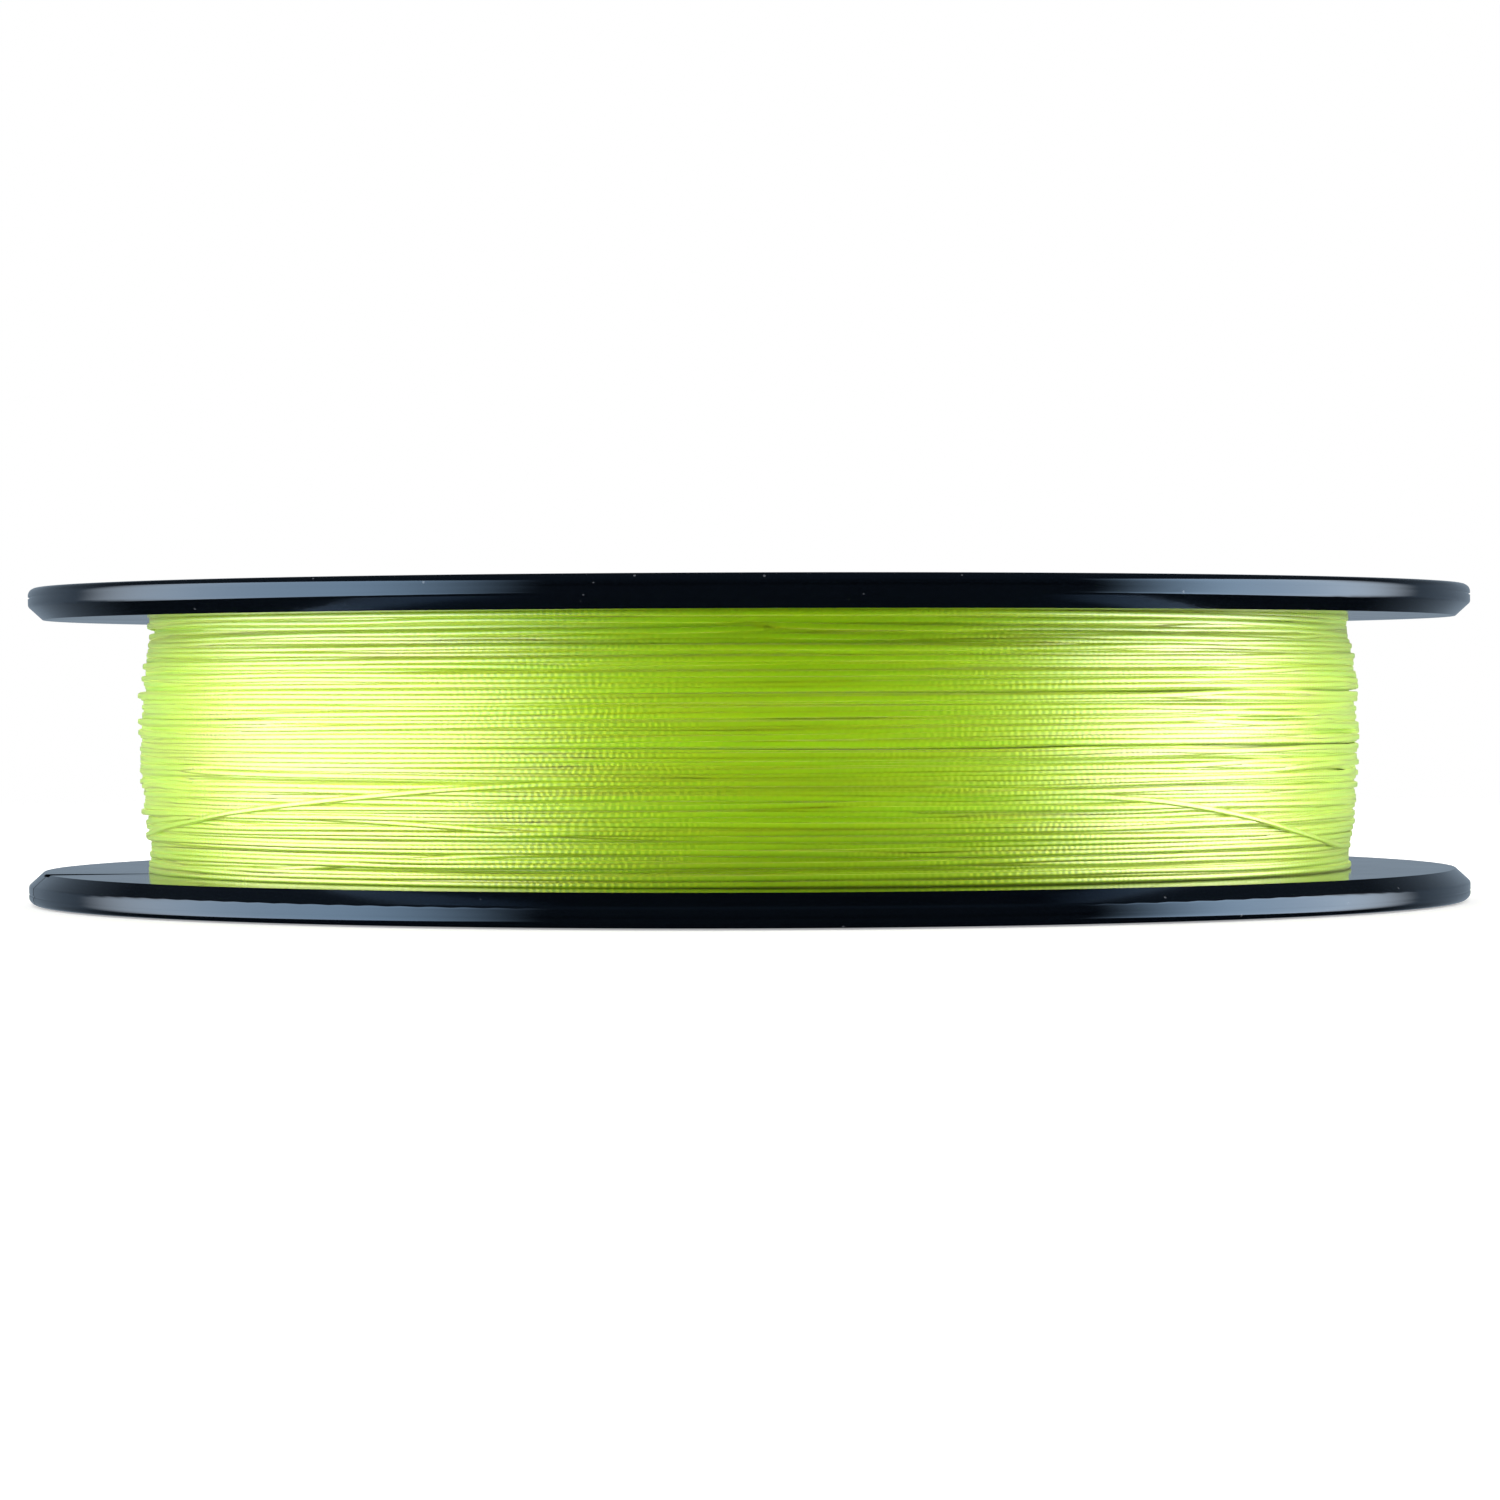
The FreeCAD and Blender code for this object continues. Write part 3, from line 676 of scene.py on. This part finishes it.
def printedFilm(values):
    # A printed polypropylene disc: dark ink with plain rings and ticks, under a satin varnish
    # with a fine grain.
    material, tree, shader = startMaterial("printedFilm")
    place = addNode(tree, "ShaderNodeTexCoord")
    split = addNode(tree, "ShaderNodeSeparateXYZ", {"Vector": place.outputs["Object"]})
    flat = addNode(tree, "ShaderNodeCombineXYZ", {"X": split.outputs["X"], "Y": split.outputs["Y"]})
    away = addNode(tree, "ShaderNodeVectorMath", {0: flat.outputs["Vector"]}, operation="LENGTH")
    radius = addNode(tree, "ShaderNodeMath", {0: away.outputs["Value"], 1: mm}, operation="DIVIDE")

    def printedRing(middleRadius, wide):
        # 1 where the radius is within half the ring's width of its middle, and 0 elsewhere.
        ring = addNode(tree, "ShaderNodeMath", {
            0: radius.outputs[0],
            1: middleRadius,
            2: wide / 2,
        }, operation="COMPARE")
        return ring.outputs[0]

    turn = addNode(tree, "ShaderNodeMath", {
        0: split.outputs["Y"],
        1: split.outputs["X"],
    }, operation="ARCTAN2")
    counted = addNode(tree, "ShaderNodeMath", {
        0: turn.outputs[0],
        1: values["ticks"] / (2 * math.pi),
    }, operation="MULTIPLY")
    step = addNode(tree, "ShaderNodeMath", {0: counted.outputs[0]}, operation="FRACT")
    tick = addNode(tree, "ShaderNodeMath", {
        0: step.outputs[0],
        1: 0.5,
        2: values["tickWidth"] / 2,
    }, operation="COMPARE")
    printed = addNode(tree, "ShaderNodeMath", {
        0: tick.outputs[0],
        1: printedRing(*values["tickRing"]),
    }, operation="MULTIPLY")
    for size in values["rings"]:
        printed = addNode(tree, "ShaderNodeMath", {
            0: printed.outputs[0],
            1: printedRing(*size),
        }, operation="MAXIMUM")
    fleck = addNode(tree, "ShaderNodeTexNoise", {
        "Vector": place.outputs["Object"],
        "Scale": 1 / (values["grain"] * mm),
        "Detail": 2.0,
    })
    worn = addNode(tree, "ShaderNodeMapRange", {
        "Value": fleck.outputs["Fac"],
        "To Min": 0.0,
        "To Max": values["wear"],
    })
    # The ink, then the accent ring over it, then the rings and ticks.
    colour = linearColour(values["colour"])
    for share, over in (
        (worn.outputs["Result"], "print"),
        (printedRing(*values["accentRing"]), "accent"),
        (printed.outputs[0], "print"),
    ):
        coat = addNode(tree, "ShaderNodeMix", {
            "Factor": share,
            "A": colour,
            "B": linearColour(values[over]),
        }, data_type="RGBA")
        colour = coat.outputs["Result"]
    rough = addNode(tree, "ShaderNodeMapRange", {
        "Value": fleck.outputs["Fac"],
        "To Min": values["roughness"][0],
        "To Max": values["roughness"][1],
    })
    tree.links.new(colour, shader.inputs["Base Color"])
    tree.links.new(rough.outputs["Result"], shader.inputs["Roughness"])
    return material


creped = {
    "colour": "#cdbb8d",
    # painted shade: the colour of the paper in the hollows of its folds
    "foldShadeColour": "#a8946a",
    "foldLength": 0.5,  # mm between the folds of the paper
    "foldHeight": 0.05,  # mm
    "foldSlant": (1.0, 1.0, 0.12),  # the folds run upright, across the strip
    "foldRelief": 0.8,
    "roughness": 0.75,
}


def crepedPaper(values):
    # Masking tape: creped paper, with fine uneven folds across its length, and painted shade where the folds
    # sink.
    material, tree, shader = startMaterial("crepedPaper", {"Roughness": values["roughness"]})
    place = addNode(tree, "ShaderNodeTexCoord")
    drawnOut = addNode(tree, "ShaderNodeMapping", {
        "Vector": place.outputs["Object"],
        "Scale": values["foldSlant"],
    })
    folds = addNode(tree, "ShaderNodeTexNoise", {
        "Vector": drawnOut.outputs["Vector"],
        "Scale": 1 / (values["foldLength"] * mm),
        "Detail": 3.0,
    })
    # Painted shade: the same noise that raises the folds paints their low parts darker.
    shade = addNode(tree, "ShaderNodeMix", {
        "Factor": folds.outputs["Fac"],
        "A": linearColour(values["foldShadeColour"]),
        "B": linearColour(values["colour"]),
    }, data_type="RGBA")
    bump = addNode(tree, "ShaderNodeBump", {
        "Height": folds.outputs["Fac"],
        "Strength": values["foldRelief"],
        "Distance": values["foldHeight"] * mm,
    })
    tree.links.new(shade.outputs["Result"], shader.inputs["Base Color"])
    tree.links.new(bump.outputs["Normal"], shader.inputs["Normal"])
    return material


clearFilm = {
    "colour": "#eef0e6",
    "alpha": (0.14, 0.30),  # where it sticks to the turns, and where air lies under it
    "roughness": (0.10, 0.30),
    "patchSize": 2.5,  # mm
    "patchRange": (0.4, 0.62),
}


def clearTape(values):
    # Clear polypropylene tape: glossy, see-through where it sticks and milky where air lies
    # under it.
    material, tree, shader = startMaterial("clearTape", {"Base Color": linearColour(values["colour"])})
    place = addNode(tree, "ShaderNodeTexCoord")
    patches = addNode(tree, "ShaderNodeTexNoise", {
        "Vector": place.outputs["Object"],
        "Scale": 1 / (values["patchSize"] * mm),
        "Detail": 3.0,
    })
    for socket, (least, most) in (("Alpha", values["alpha"]), ("Roughness", values["roughness"])):
        share = addNode(tree, "ShaderNodeMapRange", {
            "Value": patches.outputs["Fac"],
            "From Min": values["patchRange"][0],
            "From Max": values["patchRange"][1],
            "To Min": least,
            "To Max": most,
        })
        tree.links.new(share.outputs["Result"], shader.inputs[socket])
    return material


# Studio

camera = {
    "photoPixels": 1500,  # the photograph's width and height
    "focalPixels": 5510.5,
    "horizonRow": 693.3,
    "sensorWidth": 36,
    "distance": 423.9,  # mm from the spool's axis
    "height": 15.785,  # mm above the floor
    "aside": 0.046,
    "roll": 0.00326,  # radians; the spool's right end stands a little higher
    "seen": (0.01, 20),  # nearest and farthest, metres
}


def placeCamera(values):
    # Level view from -Y, tipped down so that the horizon falls on its row, and rolled.
    data = bpy.data.cameras.new("camera")
    data.sensor_width = values["sensorWidth"]
    data.lens = values["focalPixels"] * values["sensorWidth"] / values["photoPixels"]
    data.clip_start, data.clip_end = values["seen"]
    thing = bpy.data.objects.new("camera", data)
    bpy.context.scene.collection.objects.link(thing)
    tip = math.atan((values["photoPixels"] / 2 - values["horizonRow"]) / values["focalPixels"])
    level = Matrix.Rotation(math.radians(90) - tip, 4, "X")
    rolled = Matrix.Rotation(-values["roll"], 4, "Z")
    place = Vector((values["aside"], -values["distance"], values["height"])) * mm
    thing.matrix_world = Matrix.Translation(place) @ level @ rolled
    bpy.context.scene.camera = thing


# Sizes here are in metres.
studio = {
    "sideLamps": [(-80, 21.5, 1.85), (90, 17.2, 1.25)],  # degrees from the camera's direction, watts, width
    "lampTall": 1.1,
    "lampHeight": 0.012,  # level with the spool's middle
    "distance": 0.8,
    "middleShare": 0.2,  # how much of a side lamp's width is at full brightness
    "frontLamp": (7.0, 1.4),  # watts, side
    "frontDistance": 0.9,
    "frontMiddleShare": 0.98,
    "ambient": 0.2,
    "backAmbient": 1.6,
    "ambientRange": (-0.3, 0.4),  # from the one to the other, by the direction's Y
    "frontGloss": 0.004,
    "backGloss": 0.5,
    "backRange": (0.2, 0.9),  # from no backdrop to all of it, by the direction's Y
    "backHeight": (0.15, 0.5),  # and from all of it to none, by the direction's Z
    "skyGloss": 0.06,
    "skyRange": (0.25, 0.6),  # from the front's gloss to the ceiling's, by the direction's Z
    "backColour": "#b9cde0",
}


def addLamp(name, place, power, size, middleShare):
    # A rectangular lamp that faces the spool. Across its width it is even in the middle share
    # and fades out to its sides.
    data = bpy.data.lights.new(name, "AREA")
    data.shape = "RECTANGLE"
    data.size, data.size_y = size
    data.energy = power
    data.use_nodes = True
    tree = data.node_tree
    tree.nodes.clear()
    surface = addNode(tree, "ShaderNodeNewGeometry")
    split = addNode(tree, "ShaderNodeSeparateXYZ", {"Vector": surface.outputs["Parametric"]})
    centred = addNode(tree, "ShaderNodeMath", {0: split.outputs["X"], 1: 0.5}, operation="SUBTRACT")
    away = addNode(tree, "ShaderNodeMath", {0: centred.outputs[0]}, operation="ABSOLUTE")
    glow = addNode(tree, "ShaderNodeMapRange", {
        "Value": away.outputs[0],
        "From Min": middleShare / 2,
        "From Max": 0.5,
        "To Min": 1.0,
        "To Max": 0.0,
    }, interpolation_type="SMOOTHSTEP")
    shine = addNode(tree, "ShaderNodeEmission", {"Strength": glow.outputs["Result"]})
    addNode(tree, "ShaderNodeOutputLight", {"Surface": shine.outputs["Emission"]})
    thing = bpy.data.objects.new(name, data)
    bpy.context.scene.collection.objects.link(thing)
    turned = (-Vector(place)).to_track_quat("-Z", "Y").to_matrix().to_4x4()
    thing.matrix_world = Matrix.Translation(place) @ turned
    thing.visible_camera = False
    return thing


def lightStudio(values):
    # A tall soft lamp on each side, level with the spool, and a broad one behind the camera
    # that lifts the front evenly and leaves no mirror image there.
    far = values["distance"]
    high = values["lampHeight"]
    for name, (degrees, power, wide) in zip(("lamp_left", "lamp_right"), values["sideLamps"]):
        angle = math.radians(degrees)
        place = (far * math.sin(angle), -far * math.cos(angle), high)
        addLamp(name, place, power, (wide, values["lampTall"]), values["middleShare"])
    power, side = values["frontLamp"]
    place = (0, -values["frontDistance"], high)
    front = addLamp("lamp_front", place, power, (side, side), values["frontMiddleShare"])
    front.visible_glossy = False


def paintWorld(values):
    # Camera rays see white. Glossy rays see a pale backdrop behind the spool, a faint ceiling
    # and a dark room in front. The rest get a soft light, brighter from behind.
    world = bpy.data.worlds.new("studio")
    bpy.context.scene.world = world
    world.use_nodes = True
    world.cycles.sampling_method = "NONE"  # so that each kind of ray meets its own brightness
    tree = world.node_tree
    tree.nodes.clear()
    path = addNode(tree, "ShaderNodeLightPath")
    place = addNode(tree, "ShaderNodeTexCoord")
    split = addNode(tree, "ShaderNodeSeparateXYZ", {"Vector": place.outputs["Generated"]})
    behind = addNode(tree, "ShaderNodeMapRange", {
        "Value": split.outputs["Y"],
        "From Min": values["backRange"][0],
        "From Max": values["backRange"][1],
        "To Max": values["backGloss"],
    })
    tilt = addNode(tree, "ShaderNodeMath", {0: split.outputs["Z"]}, operation="ABSOLUTE")
    low = addNode(tree, "ShaderNodeMapRange", {
        "Value": tilt.outputs[0],
        "From Min": values["backHeight"][0],
        "From Max": values["backHeight"][1],
        "To Min": 1.0,
        "To Max": 0.0,
    })
    backdrop = addNode(tree, "ShaderNodeMath", {
        0: behind.outputs["Result"],
        1: low.outputs["Result"],
    }, operation="MULTIPLY")
    ceiling = addNode(tree, "ShaderNodeMapRange", {
        "Value": split.outputs["Z"],
        "From Min": values["skyRange"][0],
        "From Max": values["skyRange"][1],
        "To Min": values["frontGloss"],
        "To Max": values["skyGloss"],
    })
    room = addNode(tree, "ShaderNodeMath", {
        0: backdrop.outputs[0],
        1: ceiling.outputs["Result"],
    }, operation="ADD")
    even = addNode(tree, "ShaderNodeMapRange", {
        "Value": split.outputs["Y"],
        "From Min": values["ambientRange"][0],
        "From Max": values["ambientRange"][1],
        "To Min": values["ambient"],
        "To Max": values["backAmbient"],
    })
    soft = addNode(tree, "ShaderNodeMix", {
        "Factor": path.outputs["Is Glossy Ray"],
        "A": even.outputs["Result"],
        "B": room.outputs[0],
    }, data_type="FLOAT")
    direct = addNode(tree, "ShaderNodeMath", {
        0: path.outputs["Is Camera Ray"],
        1: path.outputs["Is Transmission Ray"],
    }, operation="MAXIMUM")
    strength = addNode(tree, "ShaderNodeMix", {
        "Factor": direct.outputs[0],
        "A": soft.outputs["Result"],
        "B": 1.0,
    }, data_type="FLOAT")
    colour = addNode(tree, "ShaderNodeMix", {
        "Factor": path.outputs["Is Glossy Ray"],
        "A": (1, 1, 1, 1),
        "B": linearColour(values["backColour"]),
    }, data_type="RGBA")
    sky = addNode(tree, "ShaderNodeBackground", {
        "Color": colour.outputs["Result"],
        "Strength": strength.outputs["Result"],
    })
    addNode(tree, "ShaderNodeOutputWorld", {"Surface": sky.outputs["Background"]})


# Sizes here are in metres.
floor = {
    "radius": 0.42,
    "fadeStart": 0.16,
    "fadeEnd": 0.98,  # share of the radius
    "rings": 8,
    "firstRing": 0.02,  # share of the radius
    "steps": 96,
    "depth": 0.0001,  # below the spool's foot, so that the two faces don't fight
    "colour": "#eeeeec",
    "roughness": 0.9,
    "lift": 0.35,  # how much whiter the camera sees it
}


def layFloor(values):
    # A pale round floor that fades out into the white room. It is clear from below. Its points
    # are rings at even radii, closed by one cap in the middle.
    steps = values["steps"]
    angles = 2 * math.pi * np.arange(steps) / steps
    radii = np.linspace(values["firstRing"], 1, values["rings"]) * values["radius"]
    points = aroundAxis(radii[:, None], angles[None, :], -values["depth"]).reshape(-1, 3)
    numbers = np.pad(np.arange(len(points)).reshape(len(radii), steps), ((0, 0), (0, 1)), "wrap")
    thing = putMesh("floor", points, squareCorners(numbers).reshape(-1, 4), [np.arange(steps)])
    material, tree, shader = startMaterial("paleFloor", {
        "Base Color": linearColour(values["colour"]),
        "Roughness": values["roughness"],
        "Specular IOR Level": 0.0,
        "Emission Color": (1, 1, 1, 1),
    })
    path = addNode(tree, "ShaderNodeLightPath")
    lift = addNode(tree, "ShaderNodeMath", {
        0: path.outputs["Is Camera Ray"],
        1: values["lift"],
    }, operation="MULTIPLY")
    tree.links.new(lift.outputs[0], shader.inputs["Emission Strength"])
    place = addNode(tree, "ShaderNodeTexCoord")
    away = addNode(tree, "ShaderNodeVectorMath", {0: place.outputs["Object"]}, operation="LENGTH")
    fade = addNode(tree, "ShaderNodeMapRange", {
        "Value": away.outputs["Value"],
        "From Min": values["fadeStart"],
        "From Max": values["radius"] * values["fadeEnd"],
    }, interpolation_type="SMOOTHSTEP")
    surface = addNode(tree, "ShaderNodeNewGeometry")
    clear = fade.outputs["Result"]
    below = surface.outputs["Backfacing"]
    for unseenBy in (below, path.outputs["Is Glossy Ray"], path.outputs["Is Shadow Ray"]):
        step = addNode(tree, "ShaderNodeMath", {0: clear, 1: unseenBy}, operation="MAXIMUM")
        clear = step.outputs[0]
    nothing = addNode(tree, "ShaderNodeBsdfTransparent")
    mixed = addNode(tree, "ShaderNodeMixShader", {
        0: clear,
        1: shader.outputs["BSDF"],
        2: nothing.outputs["BSDF"],
    })
    output = next(node for node in tree.nodes if node.type == "OUTPUT_MATERIAL")
    tree.links.new(mixed.outputs[0], output.inputs["Surface"])
    thing.data.materials.append(material)


print("laying the turns")
turnHeights, turnRadii, layerStarts, tableHeights, tableRadii = layTurns(route, settling)
outermost = turnRadii.max() + line["thickness"] / 2
print("wound line:", len(turnHeights), "turns, outermost radius", round(outermost, 2), "mm")
fibre = braidedFibre(braid)
inner, middle, outer = woundLine(turnHeights, turnRadii, layerStarts, line)
finishPiece(inner, fibre, "line")
finishPiece(middle, fibre, "line")
finishPiece(outer, fibre, "line", "line_outer_turns")
finishPiece(lineBed(bed), fibre, "line", "line_winding_core")

print("draping the end tape")
draped = drapedTape(endTape, tableHeights, tableRadii)
finishPiece(draped, clearTape(clearFilm), "clear_tape", "line_end_tape")

print("finishing the CAD pieces")
shell = mouldedPolystyrene(plastic)
film = printedFilm(label)
paper = crepedPaper(creped)
for name, material in (
    ("lower_spool_half", shell),
    ("upper_spool_half", shell),
    ("lower_label", film),
    ("upper_label", film),
    ("line_start_tape", paper),
):
    nodes[name].material_slots[0].material = material

print("setting the studio")
placeCamera(camera)
lightStudio(studio)
paintWorld(studio)
layFloor(floor)
bpy.context.scene.view_settings.view_transform = "Standard"
